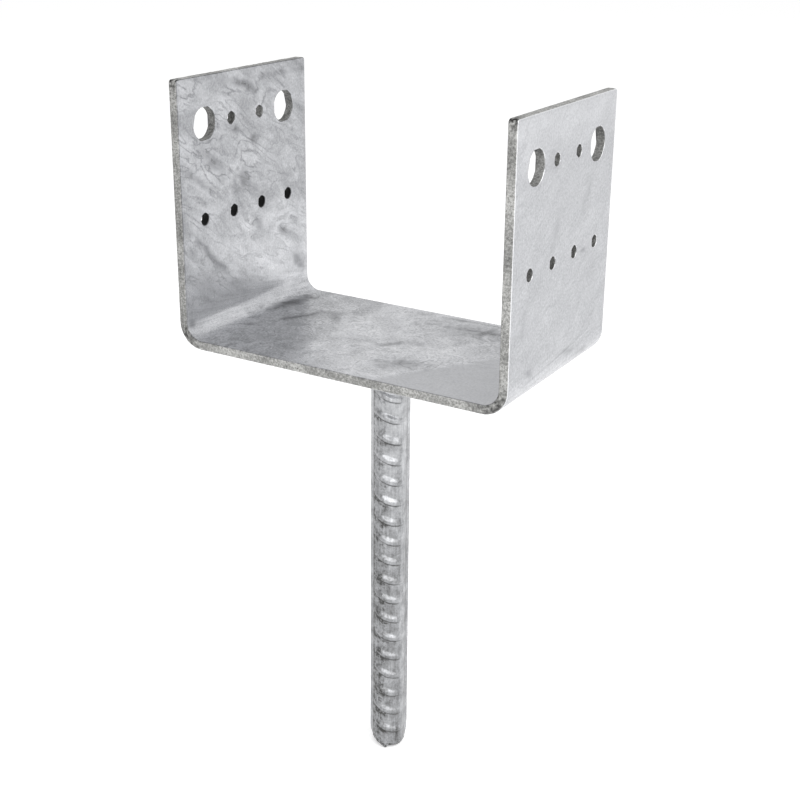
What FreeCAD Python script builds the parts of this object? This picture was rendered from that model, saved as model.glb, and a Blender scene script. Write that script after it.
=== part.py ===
import FreeCAD, Part
import math
import os

import Sketcher
from FreeCAD import Placement, Rotation, Vector

# Galvanised timber post base: one strip folded into a U that holds the post, a ribbed
# reinforcing bar that is cast into the foundation, and the fillet weld that joins them.
#
# Frame: X across the U, Y along its folds, Z up. The origin is the centre of the seat,
# on the face that the post stands on. Lengths are in millimetres, angles in degrees.

SIZES = [
    # alias, value, what it is
    ("inner_width", 150.0, "clear width between the legs, for a planed 148 post"),
    ("plate_depth", 90.0, "width of the strip, along the folds"),
    ("plate_gauge", 4.0, "thickness of the strip"),
    ("leg_height", 110.0, "seat to the top of a leg"),
    ("bend_radius", 7.0, "inside radius of the two folds"),
    ("corner_radius", 1.5, "corners of the legs, softened by the zinc"),
    ("edge_bevel", 0.4, "sheared edges of the strip, softened by the zinc"),
    ("bolt_hole", 14.0, "diameter of a bolt hole, for an M12 bolt"),
    ("bolt_spacing", 56.0, "between the two bolt holes of a leg"),
    ("upper_row_drop", 20.0, "top of a leg to its bolt holes and upper screw holes"),
    ("lower_row_drop", 60.5, "top of a leg to its lower row of screw holes"),
    ("screw_hole", 5.0, "diameter of a screw hole"),
    ("screw_spacing", 20.0, "between neighbouring screw holes of a row"),
    ("bar_core", 15.4, "diameter between the ribs of a 16 mm bar"),
    ("bar_length", 200.0, "bar below the seat plate"),
    ("bar_turn", 121.2, "turn of the rib rows from the X axis, as the bar was welded"),
    ("rib_height", 1.1, "crescent rib at the middle of its row"),
    ("rib_crest", 1.3, "width of a rib's flat top"),
    ("rib_flank", 50.0, "slope of a rib's flanks"),
    ("rib_root", 0.6, "how deep the flanks run into the core"),
    ("rib_reach", 62.0, "half the angle round the bar that a rib takes"),
    ("rib_slant", 17.0, "rib against a square cross-section"),
    ("rib_pitch", 9.9, "from rib to rib along the bar"),
    ("first_rib", 10.3, "top of the bar to the middle of the first rib"),
    ("last_rib_margin", 4.0, "least length of bar below the last rib"),
    ("seam_height", 0.9, "long ribs at the two sides of the bar"),
    ("seam_crest", 1.8, "width of a long rib's flat top"),
    ("seam_flank", 25.0, "slope of a long rib's sides"),
    ("tip_length", 8.0, "end of the bar that the shears pinched"),
    ("tip_pinch", 0.6, "how far the shears drew in the rim of the core"),
    ("weld_leg", 6.0, "leg of the fillet weld, along the plate and along the bar"),
    ("weld_root", 1.2, "how far the weld's section is drawn into the bar, before the cut"),
]

doc = FreeCAD.newDocument("timber_post_base")
sheet = doc.addObject("Spreadsheet::Sheet", "Sizes")
for row, (alias, value, meaning) in enumerate(SIZES, start=1):
    sheet.set(f"A{row}", meaning)
    sheet.set(f"B{row}", str(value))
    sheet.setAlias(f"B{row}", alias)
doc.recompute()


def size(alias):
    return float(sheet.get(alias))


# ------------------------------------------------------------------ drawing aids

# Sketcher's own numbers for the parts of a curve and for a sketch's two axes.
START, END, CENTRE = range(1, 4)
H_AXIS, V_AXIS = range(-1, -3, -1)
ORIGIN = (H_AXIS, START)


def new_body(name):
    body = doc.addObject("PartDesign::Body", name)
    body.Label = name
    return body


def origin_feature(body, role):
    return next(feature for feature in body.Origin.OriginFeatures if feature.Role == role)


def new_sketch(body, name, plane_role):
    sketch = body.newObject("Sketcher::SketchObject", name)
    sketch.AttachmentSupport = [(origin_feature(body, plane_role), "")]
    sketch.MapMode = "FlatFace"
    return sketch


def rule(sketch, kind, *where):
    return sketch.addConstraint(Sketcher.Constraint(kind, *where))


def dimension(sketch, name, expression, kind, *where):
    """A named driving dimension that follows the sheet."""
    index = rule(sketch, kind, *where, float(sketch.evalExpression(expression)))
    sketch.renameConstraint(index, name)
    sketch.setExpression("Constraints." + name, expression)


def line(sketch, start, end):
    return sketch.addGeometry(Part.LineSegment(Vector(*start), Vector(*end)), False)


def arc(sketch, centre, radius, first_degrees, last_degrees):
    circle = Part.Circle(Vector(*centre), Vector(0, 0, 1), radius)
    span = Part.ArcOfCircle(circle, math.radians(first_degrees), math.radians(last_degrees))
    return sketch.addGeometry(span, False)


def closed_outline(sketch, points):
    """Straight sides through the points in turn; side n starts at point n."""
    sides = [line(sketch, a, b) for a, b in zip(points, points[1:] + points[:1])]
    for side, following in zip(sides, sides[1:] + sides[:1]):
        rule(sketch, "Coincident", side, END, following, START)
    return sides


# ------------------------------------------------------------------ u_bracket
# One strip of 4 mm steel, holed in the flat and folded up at both ends.

bracket = new_body("u_bracket")

half_width = size("inner_width") / 2
gauge = size("plate_gauge")
height = size("leg_height")
inner_bend = size("bend_radius")
outer_bend = inner_bend + gauge
bend_x = half_width - inner_bend

profile = new_sketch(bracket, "folded_section", "XZ_Plane")
left_outside = line(profile, (-half_width - gauge, height), (-half_width - gauge, inner_bend))
left_outer_bend = arc(profile, (-bend_x, inner_bend), outer_bend, 180, 270)
underside = line(profile, (-bend_x, -gauge), (bend_x, -gauge))
right_outer_bend = arc(profile, (bend_x, inner_bend), outer_bend, 270, 360)
right_outside = line(profile, (half_width + gauge, inner_bend), (half_width + gauge, height))
right_top = line(profile, (half_width + gauge, height), (half_width, height))
right_inside = line(profile, (half_width, height), (half_width, inner_bend))
right_inner_bend = arc(profile, (bend_x, inner_bend), inner_bend, 270, 360)
seat = line(profile, (bend_x, 0), (-bend_x, 0))
left_inner_bend = arc(profile, (-bend_x, inner_bend), inner_bend, 180, 270)
left_inside = line(profile, (-half_width, inner_bend), (-half_width, height))
left_top = line(profile, (-half_width, height), (-half_width - gauge, height))

for first, first_end, second, second_end in [
    (left_outside, END, left_outer_bend, START),
    (left_outer_bend, END, underside, START),
    (underside, END, right_outer_bend, START),
    (right_outer_bend, END, right_outside, START),
    (right_inside, END, right_inner_bend, END),
    (right_inner_bend, START, seat, START),
    (seat, END, left_inner_bend, END),
    (left_inner_bend, START, left_inside, START),
]:
    rule(profile, "Tangent", first, first_end, second, second_end)
for first, second in [
    (right_outside, right_top),
    (right_top, right_inside),
    (left_inside, left_top),
    (left_top, left_outside),
]:
    rule(profile, "Coincident", first, END, second, START)
for upright in (left_outside, left_inside, right_inside, right_outside):
    rule(profile, "Vertical", upright)
for level in (underside, seat, left_top, right_top):
    rule(profile, "Horizontal", level)
rule(profile, "Coincident", left_outer_bend, CENTRE, left_inner_bend, CENTRE)
rule(profile, "Coincident", right_outer_bend, CENTRE, right_inner_bend, CENTRE)
rule(profile, "Equal", left_inner_bend, right_inner_bend)
rule(profile, "PointOnObject", seat, START, H_AXIS)
rule(profile, "Symmetric", left_inside, END, right_inside, START, V_AXIS)
dimension(profile, "inner_width", "Sizes.inner_width",
          "DistanceX", left_inside, END, right_inside, START)
dimension(profile, "leg_height", "Sizes.leg_height", "DistanceY", *ORIGIN, right_inside, START)
dimension(profile, "gauge", "Sizes.plate_gauge", "DistanceY", underside, END, *ORIGIN)
dimension(profile, "bend_radius", "Sizes.bend_radius", "Radius", right_inner_bend)

strip = bracket.newObject("PartDesign::Pad", "folded_strip")
strip.Profile = profile
strip.SideType = "Symmetric"
strip.setExpression("Length", "Sizes.plate_depth")
doc.recompute()


SAME_PLACE = 1e-6


def edges_where(feature, wanted):
    """Names of the edges that pass a test."""
    return [f"Edge{n}" for n, edge in enumerate(feature.Shape.Edges, start=1) if wanted(edge)]


def on_a_side(edge):
    """Both ends lie on the same sheared side of the strip."""
    first, last = edge.Vertexes[0].Y, edge.Vertexes[-1].Y
    side = math.copysign(size("plate_depth") / 2, first)
    return all(math.isclose(y, side, abs_tol=SAME_PLACE) for y in (first, last))


def at_a_leg_corner(edge):
    return on_a_side(edge) and all(
        math.isclose(end.Z, height, abs_tol=SAME_PLACE) for end in edge.Vertexes
    )


def along_the_strip(edge):
    return on_a_side(edge) and not math.isclose(edge.Length, gauge, abs_tol=SAME_PLACE)


corners = bracket.newObject("PartDesign::Fillet", "leg_corners")
corners.Base = (strip, edges_where(strip, at_a_leg_corner))
corners.setExpression("Radius", "Sizes.corner_radius")
doc.recompute()

sheared_edges = bracket.newObject("PartDesign::Chamfer", "sheared_edges")
sheared_edges.Base = (corners, edges_where(corners, along_the_strip))
sheared_edges.setExpression("Size", "Sizes.edge_bevel")
doc.recompute()


def hole_pair(sketch, name, diameter, half_spacing, drop):
    """Two equal holes either side of the leg's middle, at one height."""
    y = float(sketch.evalExpression(half_spacing))
    z = float(sketch.evalExpression(f"Sizes.leg_height - {drop}"))
    radius = float(sketch.evalExpression(diameter)) / 2
    near, far = (
        sketch.addGeometry(Part.Circle(Vector(side * y, z), Vector(0, 0, 1), radius), False)
        for side in (1, -1)
    )
    rule(sketch, "Equal", near, far)
    rule(sketch, "Symmetric", near, CENTRE, far, CENTRE, V_AXIS)
    dimension(sketch, name + "_diameter", diameter, "Diameter", near)
    dimension(sketch, name + "_offset", half_spacing, "DistanceX", *ORIGIN, near, CENTRE)
    dimension(sketch, name + "_height", f"Sizes.leg_height - {drop}",
              "DistanceY", *ORIGIN, near, CENTRE)


def punch(sketch, name):
    """Take the sketch's holes through both legs."""
    pocket = bracket.newObject("PartDesign::Pocket", name)
    pocket.Profile = sketch
    pocket.Type = "ThroughAll"
    pocket.SideType = "Symmetric"


bolts = new_sketch(bracket, "bolt_centres", "YZ_Plane")
hole_pair(bolts, "bolt", "Sizes.bolt_hole", "Sizes.bolt_spacing / 2", "Sizes.upper_row_drop")
punch(bolts, "bolt_holes")

screws = new_sketch(bracket, "screw_centres", "YZ_Plane")
for name, half_spacing, drop in [
    ("upper", "Sizes.screw_spacing / 2", "Sizes.upper_row_drop"),
    ("lower_inner", "Sizes.screw_spacing / 2", "Sizes.lower_row_drop"),
    ("lower_outer", "Sizes.screw_spacing * 3 / 2", "Sizes.lower_row_drop"),
]:
    hole_pair(screws, name, "Sizes.screw_hole", half_spacing, drop)
punch(screws, "screw_holes")

# ------------------------------------------------------------------ anchor_bar
# Hot-rolled reinforcing bar, cropped to length. Two rows of slanted crescent ribs lie on
# opposite sides, and a long rib runs between the rows on each side. The body's own origin
# is the top of the bar, and its X axis is the middle of one row.

UNDER_THE_PLATE = "-Sizes.plate_gauge"

bar = new_body("anchor_bar")
bar.Placement = Placement(Vector(0, 0, -gauge), Rotation(Vector(0, 0, 1), size("bar_turn")))
bar.setExpression("Placement.Base.z", UNDER_THE_PLATE)
bar.setExpression("Placement.Rotation.Angle", "Sizes.bar_turn")

core_radius = size("bar_core") / 2
bar_length = size("bar_length")


def run_down(sketch, name):
    pad = bar.newObject("PartDesign::Pad", name)
    pad.Profile = sketch
    pad.Reversed = True
    pad.Refine = False
    pad.setExpression("Length", "Sizes.bar_length")
    return pad


round_section = new_sketch(bar, "core_section", "XY_Plane")
core_circle = round_section.addGeometry(Part.Circle(Vector(), Vector(0, 0, 1), core_radius), False)
rule(round_section, "Coincident", core_circle, CENTRE, *ORIGIN)
dimension(round_section, "core", "Sizes.bar_core", "Diameter", core_circle)
run_down(round_section, "core")

# The two long ribs are the ends of one six-sided section across the core.
seam_top = core_radius + size("seam_height")
seam_half_crest = size("seam_crest") / 2
seam_half_root = seam_half_crest + seam_top * math.tan(math.radians(size("seam_flank")))
seam_section = new_sketch(bar, "long_rib_section", "XY_Plane")
right_upper, right_lower, bottom_crest, left_lower, left_upper, top_crest = closed_outline(
    seam_section,
    [
        (seam_half_crest, seam_top),
        (seam_half_root, 0),
        (seam_half_crest, -seam_top),
        (-seam_half_crest, -seam_top),
        (-seam_half_root, 0),
        (-seam_half_crest, seam_top),
    ],
)
rule(seam_section, "Symmetric", right_upper, START, top_crest, START, V_AXIS)
rule(seam_section, "Symmetric", bottom_crest, START, left_lower, START, V_AXIS)
rule(seam_section, "Symmetric", right_lower, START, left_upper, START, V_AXIS)
rule(seam_section, "Symmetric", right_upper, START, bottom_crest, START, H_AXIS)
rule(seam_section, "PointOnObject", right_lower, START, H_AXIS)
dimension(seam_section, "crest", "Sizes.seam_crest",
          "DistanceX", top_crest, START, right_upper, START)
dimension(seam_section, "top", "Sizes.bar_core / 2 + Sizes.seam_height",
          "DistanceY", *ORIGIN, right_upper, START)
dimension(seam_section, "root",
          "Sizes.seam_crest / 2"
          " + (Sizes.bar_core / 2 + Sizes.seam_height) * tan(Sizes.seam_flank)",
          "DistanceX", *ORIGIN, right_lower, START)
run_down(seam_section, "long_ribs")

# A crescent rib is the rim of a bevelled disc. The disc is set off towards its row, so
# that its rim rises out of the core, is highest at the middle of the row and sinks back
# at the ends, and it is tilted about the row's middle line, which gives the slant.
RIB_OFFSET = (
    "Sizes.rib_height * (Sizes.rib_height + Sizes.bar_core)"
    " / (2 * Sizes.rib_height + Sizes.bar_core * (1 - cos(Sizes.rib_reach)))"
)
DISC_RADIUS = f"Sizes.bar_core / 2 + Sizes.rib_height - {RIB_OFFSET}"
BEVEL_DEPTH = "Sizes.rib_height + Sizes.rib_root"
HALF_ROOT = f"Sizes.rib_crest / 2 + ({BEVEL_DEPTH}) / tan(Sizes.rib_flank)"

rib_section = new_sketch(bar, "rib_section", "XZ_Plane")
disc_radius = float(rib_section.evalExpression(DISC_RADIUS))
bevel_depth = float(rib_section.evalExpression(BEVEL_DEPTH))
half_root = float(rib_section.evalExpression(HALF_ROOT))
half_crest = size("rib_crest") / 2
rib_section.AttachmentOffset = Placement(Vector(), Rotation(Vector(-1, 0, 0), size("rib_slant")))
rib_section.setExpression("AttachmentOffset.Base.x", RIB_OFFSET)
rib_section.setExpression("AttachmentOffset.Base.y", "-Sizes.first_rib")
rib_section.setExpression("AttachmentOffset.Rotation.Angle", "Sizes.rib_slant")
lower_face, lower_bevel, crest, upper_bevel, upper_face, hub = closed_outline(
    rib_section,
    [
        (0, -half_root),
        (disc_radius - bevel_depth, -half_root),
        (disc_radius, -half_crest),
        (disc_radius, half_crest),
        (disc_radius - bevel_depth, half_root),
        (0, half_root),
    ],
)
rule(rib_section, "Symmetric", lower_face, START, hub, START, H_AXIS)
rule(rib_section, "Symmetric", lower_bevel, START, upper_face, START, H_AXIS)
rule(rib_section, "Symmetric", crest, START, upper_bevel, START, H_AXIS)
rule(rib_section, "Horizontal", upper_face)
rule(rib_section, "PointOnObject", hub, START, V_AXIS)
dimension(rib_section, "radius", DISC_RADIUS, "DistanceX", *ORIGIN, upper_bevel, START)
dimension(rib_section, "crest", "Sizes.rib_crest", "DistanceY", crest, START, crest, END)
dimension(rib_section, "bevel", BEVEL_DEPTH, "DistanceX", upper_face, START, upper_bevel, START)
dimension(rib_section, "root", HALF_ROOT, "DistanceY", *ORIGIN, upper_face, START)

first_rib = bar.newObject("PartDesign::Revolution", "first_rib")
first_rib.Profile = rib_section
first_rib.ReferenceAxis = (rib_section, ["V_Axis"])
first_rib.Angle = 360
first_rib.Refine = False
doc.recompute()

ribs = bar.newObject("PartDesign::MultiTransform", "rib_rows")
ribs.Originals = [first_rib]
ribs.Refine = False
along = bar.newObject("PartDesign::LinearPattern", "along_the_bar")
along.Direction = (origin_feature(bar, "Z_Axis"), [""])
along.Reversed = True
along.Mode = "Spacing"
along.setExpression("Offset", "Sizes.rib_pitch")
along.setExpression(
    "Occurrences",
    "floor((Sizes.bar_length - Sizes.first_rib - Sizes.last_rib_margin) / Sizes.rib_pitch) + 1",
)
across = bar.newObject("PartDesign::PolarPattern", "both_sides")
across.Axis = (origin_feature(bar, "Z_Axis"), [""])
across.Angle = 360
across.Occurrences = 2
ribs.Transformations = [along, across]
bar.Tip = ribs
doc.recompute()

# The shears that cropped the bar drew its end in, which takes the long ribs off there.
tip_radius = core_radius - size("tip_pinch")
full_radius = seam_top
clear_radius = seam_top + seam_half_crest
tip_section = new_sketch(bar, "pinched_tip_section", "XZ_Plane")
shoulder, clear_side, tip_level, taper = closed_outline(
    tip_section,
    [
        (full_radius, size("tip_length") - bar_length),
        (clear_radius, size("tip_length") - bar_length),
        (clear_radius, -bar_length),
        (tip_radius, -bar_length),
    ],
)
rule(tip_section, "Horizontal", shoulder)
rule(tip_section, "Vertical", clear_side)
rule(tip_section, "Horizontal", tip_level)
dimension(tip_section, "full_radius", "Sizes.bar_core / 2 + Sizes.seam_height",
          "DistanceX", *ORIGIN, shoulder, START)
dimension(tip_section, "clear_of_the_bar", "Sizes.seam_crest / 2",
          "DistanceX", shoulder, START, shoulder, END)
dimension(tip_section, "tip_radius", "Sizes.bar_core / 2 - Sizes.tip_pinch",
          "DistanceX", *ORIGIN, taper, START)
dimension(tip_section, "tip_length", "Sizes.tip_length", "DistanceY", taper, START, shoulder, START)
dimension(tip_section, "bar_length", "Sizes.bar_length", "DistanceY", taper, START, *ORIGIN)

tip = bar.newObject("PartDesign::Groove", "pinched_tip")
tip.Profile = tip_section
tip.ReferenceAxis = (tip_section, ["V_Axis"])
tip.Angle = 360
tip.Refine = False
doc.recompute()

# ------------------------------------------------------------------ weld_bead
# Fillet weld all round the top of the bar, under the seat plate. It is drawn as a ring
# that reaches into the bar, and the bar is then cut out of it, so that it seats on the
# core and round the long ribs.

ring = new_body("weld_ring")
ring.Placement = Placement(Vector(0, 0, -gauge), Rotation())
ring.setExpression("Placement.Base.z", UNDER_THE_PLATE)

weld_leg = size("weld_leg")
root_x = core_radius - size("weld_root")
ring_section = new_sketch(ring, "weld_section", "XZ_Plane")
on_plate, face, toe, root_side = closed_outline(
    ring_section,
    [
        (root_x, 0),
        (core_radius + weld_leg, 0),
        (core_radius, -weld_leg),
        (root_x, -weld_leg),
    ],
)
rule(ring_section, "PointOnObject", on_plate, START, H_AXIS)
rule(ring_section, "Horizontal", on_plate)
rule(ring_section, "Horizontal", toe)
rule(ring_section, "Vertical", root_side)
dimension(ring_section, "root", "Sizes.bar_core / 2 - Sizes.weld_root",
          "DistanceX", *ORIGIN, on_plate, START)
dimension(ring_section, "plate_toe", "Sizes.bar_core / 2 + Sizes.weld_leg",
          "DistanceX", *ORIGIN, on_plate, END)
dimension(ring_section, "bar_toe", "Sizes.bar_core / 2", "DistanceX", *ORIGIN, toe, START)
dimension(ring_section, "bar_leg", "Sizes.weld_leg", "DistanceY", toe, START, *ORIGIN)

run_round = ring.newObject("PartDesign::Revolution", "weld_run")
run_round.Profile = ring_section
run_round.ReferenceAxis = (ring_section, ["V_Axis"])
run_round.Angle = 360

weld = doc.addObject("Part::Cut", "weld_bead")
weld.Label = "weld_bead"
weld.Base = ring
weld.Tool = bar
doc.recompute()

# ------------------------------------------------------------------ check and write

for item in doc.Objects:
    if "Invalid" in item.State or "Error" in item.State:
        raise RuntimeError(f"{item.Name} did not build: {item.State}")

os.makedirs("parts", exist_ok=True)
for piece in (bracket, bar, weld):
    shape = piece.Shape
    if shape.isNull() or not shape.isValid() or len(shape.Solids) != 1:
        raise RuntimeError(f"{piece.Label} is not one sound solid")
    shape.exportStep(f"parts/{piece.Label}.step")
    box = shape.BoundBox
    print(f"{piece.Label}: volume {shape.Volume:.1f}, faces {len(shape.Faces)}, "
          f"X {box.XMin:.2f} {box.XMax:.2f}, Y {box.YMin:.2f} {box.YMax:.2f}, "
          f"Z {box.ZMin:.2f} {box.ZMax:.2f}")
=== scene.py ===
import math

import bpy
import numpy as np
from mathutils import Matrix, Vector, geometry, noise


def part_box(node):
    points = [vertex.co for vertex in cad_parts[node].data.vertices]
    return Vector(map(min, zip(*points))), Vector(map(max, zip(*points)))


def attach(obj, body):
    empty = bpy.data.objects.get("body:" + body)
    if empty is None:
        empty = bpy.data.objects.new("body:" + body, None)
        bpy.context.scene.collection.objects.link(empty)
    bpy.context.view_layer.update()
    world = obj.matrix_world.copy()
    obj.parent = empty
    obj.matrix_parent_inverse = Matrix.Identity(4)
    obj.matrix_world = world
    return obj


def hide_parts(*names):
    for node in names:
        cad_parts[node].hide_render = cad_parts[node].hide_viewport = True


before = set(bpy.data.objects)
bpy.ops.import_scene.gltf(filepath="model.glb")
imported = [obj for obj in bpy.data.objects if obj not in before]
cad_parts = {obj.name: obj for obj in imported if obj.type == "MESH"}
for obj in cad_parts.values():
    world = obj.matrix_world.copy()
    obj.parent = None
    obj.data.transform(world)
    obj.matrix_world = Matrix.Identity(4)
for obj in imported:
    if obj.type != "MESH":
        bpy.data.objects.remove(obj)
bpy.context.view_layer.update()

# ------------------------------------------------------------------ camera
# A long lens looks at the post base from the front right and a little from above,
# so that the inside of the left leg, the seat and the outside of the right leg show.

camera = bpy.data.objects.new("camera", bpy.data.cameras.new("camera"))
bpy.context.scene.collection.objects.link(camera)
bpy.context.scene.camera = camera
camera.location = (0.2903, -0.4749, 0.1931)
camera.rotation_euler = [math.radians(turn) for turn in (69.841, -1.082, 29.677)]
camera.data.sensor_width = 36
camera.data.lens = 61.32
camera.data.shift_x = -0.0491
camera.data.shift_y = -0.0429

# ------------------------------------------------------------------ u_bracket
# One strip of 4 mm mild steel. It is sheared to length, punched in the flat, folded up
# at both ends in a press brake and hot-dip galvanised with the bar already welded on.
# The mesh is made in the same order: a flat blank with its holes, then the two folds.

MM = 0.001
_, strip_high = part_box("u_bracket")
gauge = 4.0 * MM
inner_bend = 7.0 * MM
neutral_bend = inner_bend + gauge / 2
half_depth = strip_high.y
leg_top = strip_high.z
bend_start = strip_high.x - gauge - inner_bend
bend_end = bend_start + neutral_bend * math.pi / 2
blank_half = bend_end + leg_top - inner_bend
leg_corner = 1.5 * MM
edge_round = 0.45 * MM
mesh_step = 1.1 * MM

# Each leg has the same holes: an upper row with two for bolts and a lower row for screws.
bolt_row = blank_half - 20.0 * MM
screw_row = blank_half - 60.5 * MM
bolt_hole = 14.0 * MM
screw_hole = 5.0 * MM
PUNCHED = [
    # along the blank, across it, diameter, soot and painted shade in the left leg's hole and the
    # right leg's
    (bolt_row, -28.0 * MM, bolt_hole, 0.5, 0.35),
    (bolt_row, 28.0 * MM, bolt_hole, 0.45, 0.3),
    (bolt_row, -10.0 * MM, screw_hole, 0.65, 0.4),
    (bolt_row, 10.0 * MM, screw_hole, 0.45, 0.4),
    (screw_row, -30.0 * MM, screw_hole, 1.0, 0.4),
    (screw_row, -10.0 * MM, screw_hole, 1.0, 0.4),
    (screw_row, 10.0 * MM, screw_hole, 1.0, 0.35),
    (screw_row, 30.0 * MM, screw_hole, 1.0, 0.4),
]
HOLES = [
    (side * along, across, diameter, soot_and_shade[0] if side < 0 else soot_and_shade[1])
    for side in (-1, 1) for along, across, diameter, *soot_and_shade in PUNCHED
]


def straight(start, end, into):
    """Points along one sheared side, and the way into the metal at each."""
    start, end = np.array(start), np.array(end)
    count = max(round(math.dist(start, end) / mesh_step), 1)
    share = np.arange(count)[:, None] / count
    return start + (end - start) * share, np.tile(into, (count, 1))


def round_stretch(centre, radius, first, last, count, into):
    """Points along an arc; into is 1 where the metal is outside it and -1 where inside."""
    angle = np.radians(first + (last - first) * np.arange(count) / count)
    ray = np.stack([np.cos(angle), np.sin(angle)], axis=1)
    return np.array(centre) + radius * ray, into * ray


def outline():
    """The blank's rim, counter-clockwise."""
    flat_along = blank_half - leg_corner
    flat_across = half_depth - leg_corner
    steps = 5
    stretches = [
        straight((-flat_along, -half_depth), (flat_along, -half_depth), (0, 1)),
        round_stretch((flat_along, -flat_across), leg_corner, -90, 0, steps, -1),
        straight((blank_half, -flat_across), (blank_half, flat_across), (-1, 0)),
        round_stretch((flat_along, flat_across), leg_corner, 0, 90, steps, -1),
        straight((flat_along, half_depth), (-flat_along, half_depth), (0, -1)),
        round_stretch((-flat_along, flat_across), leg_corner, 90, 180, steps, -1),
        straight((-blank_half, flat_across), (-blank_half, -flat_across), (1, 0)),
        round_stretch((-flat_along, -flat_across), leg_corner, 180, 270, steps, -1),
    ]
    return tuple(np.concatenate(parts) for parts in zip(*stretches))


def hole_rim(along, across, diameter):
    """A hole's rim, clockwise."""
    steps = 84 if diameter == bolt_hole else 36
    return round_stretch((along, across), diameter / 2, 0, -360, steps, 1)


def wavy(points, feature, octaves=2):
    """Smooth random height from about -1 to 1, with features of the given size. Each
    further octave is twice as fine and weaker by the fall-off."""
    fall_off, finer = 0.7, 2.0
    return np.array([noise.fractal(Vector(p), fall_off, finer, octaves) for p in points / feature])


def fold(along, across, lift):
    """Where a point of the flat blank lies once the two legs are folded up."""
    reach = np.abs(along)
    turn = np.clip((reach - bend_start) / neutral_bend, 0, math.pi / 2)
    radius = neutral_bend - lift
    x = np.sign(along) * (np.minimum(reach, bend_start) + radius * np.sin(turn))
    z = inner_bend - radius * np.cos(turn) + np.maximum(reach - bend_end, 0)
    return np.stack([x, across, z], axis=1)


def edge_rows():
    """Rows down a sheared side: how far each is set in from the rim, and its lift."""
    flat_rows = 6
    turns = np.radians([0, 25, 50, 70, 90])
    inset = edge_round * (1 - np.sin(turns))
    lift = gauge / 2 - edge_round * (1 - np.cos(turns))
    middle = np.linspace(lift[-1], -lift[-1], flat_rows + 2)[1:-1]
    inset = np.concatenate([inset, np.zeros(len(middle)), inset[::-1]])
    lift = np.concatenate([lift, middle, -lift[::-1]])
    return inset, lift


def clear_of_holes(points, margin):
    """Which points lie in the metal, at least the margin away from every hole."""
    clear = np.ones(len(points), bool)
    for along, across, diameter, _ in HOLES:
        away = np.hypot(points[:, 0] - along, points[:, 1] - across)
        clear &= away > diameter / 2 + margin
    return clear


def flat_blank():
    """Points (along, across, lift) and faces before folding. At each point it also gives
    how much it is sheared metal, the way into the metal there and the soot and painted shade in its
    hole."""
    rims = [(*outline(), 0.0)]
    rims += [(*hole_rim(along, across, diameter), soot_and_shade) for along, across, diameter, soot_and_shade in HOLES]
    inset, lift = edge_rows()
    row_count = len(inset)

    points, faces, sheared, inward, hole_soot_and_shade = [], [], [], [], []
    flat_rings, ring_tops, ring_bottoms = [], [], []
    first = 0
    for rim, into, soot_and_shade in rims:
        count = len(rim)
        for set_in, height in zip(inset, lift):
            ring = rim + into * set_in
            points.append(np.column_stack([ring, np.full(count, height)]))
            sheared.append(np.full(count, 1 - set_in / edge_round))
            inward.append(into)
            hole_soot_and_shade.append(np.full(count, soot_and_shade))
        flat_rings.append(rim + into * edge_round)
        ring_tops.append(np.arange(first, first + count))
        ring_bottoms.append(ring_tops[-1] + count * (row_count - 1))
        for row in range(row_count - 1):
            upper = first + row * count
            lower = upper + count
            faces += [(upper + n, lower + n, lower + (n + 1) % count, upper + (n + 1) % count)
                      for n in range(count)]
        first += count * row_count

    # The two flat faces share one net of triangles, slightly uneven so that no rows show.
    unevenness = 0.28 * mesh_step
    random = np.random.default_rng(seed=4)
    margin = edge_round + 0.7 * mesh_step
    across_count = round(2 * half_depth / mesh_step)
    along_count = round(2 * blank_half / mesh_step)
    net = np.stack(np.meshgrid(
        np.linspace(-blank_half, blank_half, along_count),
        np.linspace(-half_depth, half_depth, across_count)), axis=-1).reshape(-1, 2)
    net += random.uniform(-1, 1, net.shape) * unevenness
    keep = (np.abs(net[:, 0]) < blank_half - margin) & (np.abs(net[:, 1]) < half_depth - margin)
    net = net[keep & clear_of_holes(net, margin)]

    flat_points = np.concatenate(flat_rings + [net])
    loops, start = [], 0
    for ring in flat_rings:
        loops.append(list(range(start, start + len(ring))))
        start += len(ring)
    only_inside, closest = 1, 1e-9
    _, _, triangles, came_from, _, _ = geometry.delaunay_2d_cdt(
        [Vector(p) for p in flat_points], [], loops, only_inside, closest, True)
    source = np.array([group[0] for group in came_from])
    triangles = source[np.array(triangles)]
    triangles = triangles[clear_of_holes(flat_points[triangles].mean(axis=1), 0)]

    net_count = len(net)
    tops = np.concatenate(ring_tops + [np.arange(first, first + net_count)])
    bottoms = np.concatenate(ring_bottoms + [np.arange(first + net_count, first + 2 * net_count)])
    for a, b, c in triangles:
        faces.append((tops[a], tops[b], tops[c]))
        faces.append((bottoms[a], bottoms[c], bottoms[b]))
    for height in (gauge / 2, -gauge / 2):
        points.append(np.column_stack([net, np.full(net_count, height)]))
        sheared.append(np.zeros(net_count))
        inward.append(np.zeros((net_count, 2)))
        hole_soot_and_shade.append(np.zeros(net_count))
    return [np.concatenate(points), faces] + [np.concatenate(m) for m in (sheared, inward, hole_soot_and_shade)]


def mesh_piece(name, points, faces, marks):
    """A smooth-shaded object; marks are named values at its points, for its material."""
    mesh = bpy.data.meshes.new(name)
    mesh.from_pydata(points.tolist(), [], faces)
    for mark, values in marks.items():
        vector = values.ndim == 2
        layer = mesh.attributes.new(mark, "FLOAT_VECTOR" if vector else "FLOAT", "POINT")
        layer.data.foreach_set("vector" if vector else "value", values.astype(np.float32).ravel())
    mesh.shade_smooth()
    made = bpy.data.objects.new(name, mesh)
    bpy.context.scene.collection.objects.link(made)
    return made


blank, strip_faces, sheared, inward, hole_soot_and_shade = flat_blank()

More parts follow.
